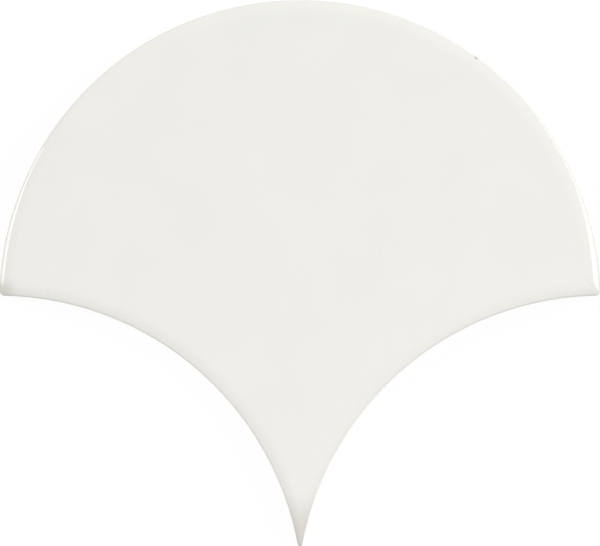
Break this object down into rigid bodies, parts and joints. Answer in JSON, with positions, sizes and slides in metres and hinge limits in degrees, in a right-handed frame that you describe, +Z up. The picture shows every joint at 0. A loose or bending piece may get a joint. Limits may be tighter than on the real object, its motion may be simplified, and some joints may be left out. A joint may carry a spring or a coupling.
{
  "type": "fish scale tile",
  "caption": "Glazed ceramic wall tile shaped as a fish scale: round head, two cove sides and a narrow tail, with a soft cushioned rim, to nest with like tiles in rows.",
  "frame": {"origin": "centre of the head's arc, on the plane of the back", "axes": "+Z up out of the glazed face, -Y from the head to the tail, +X across the width"},
  "size_m": [0.12, 0.109, 0.008],
  "materials": {
    "glazed_body": "gloss"
  },
  "bodies": {
    "root": {"scale_tile": "glazed_body"}
  },
  "joints": []
}
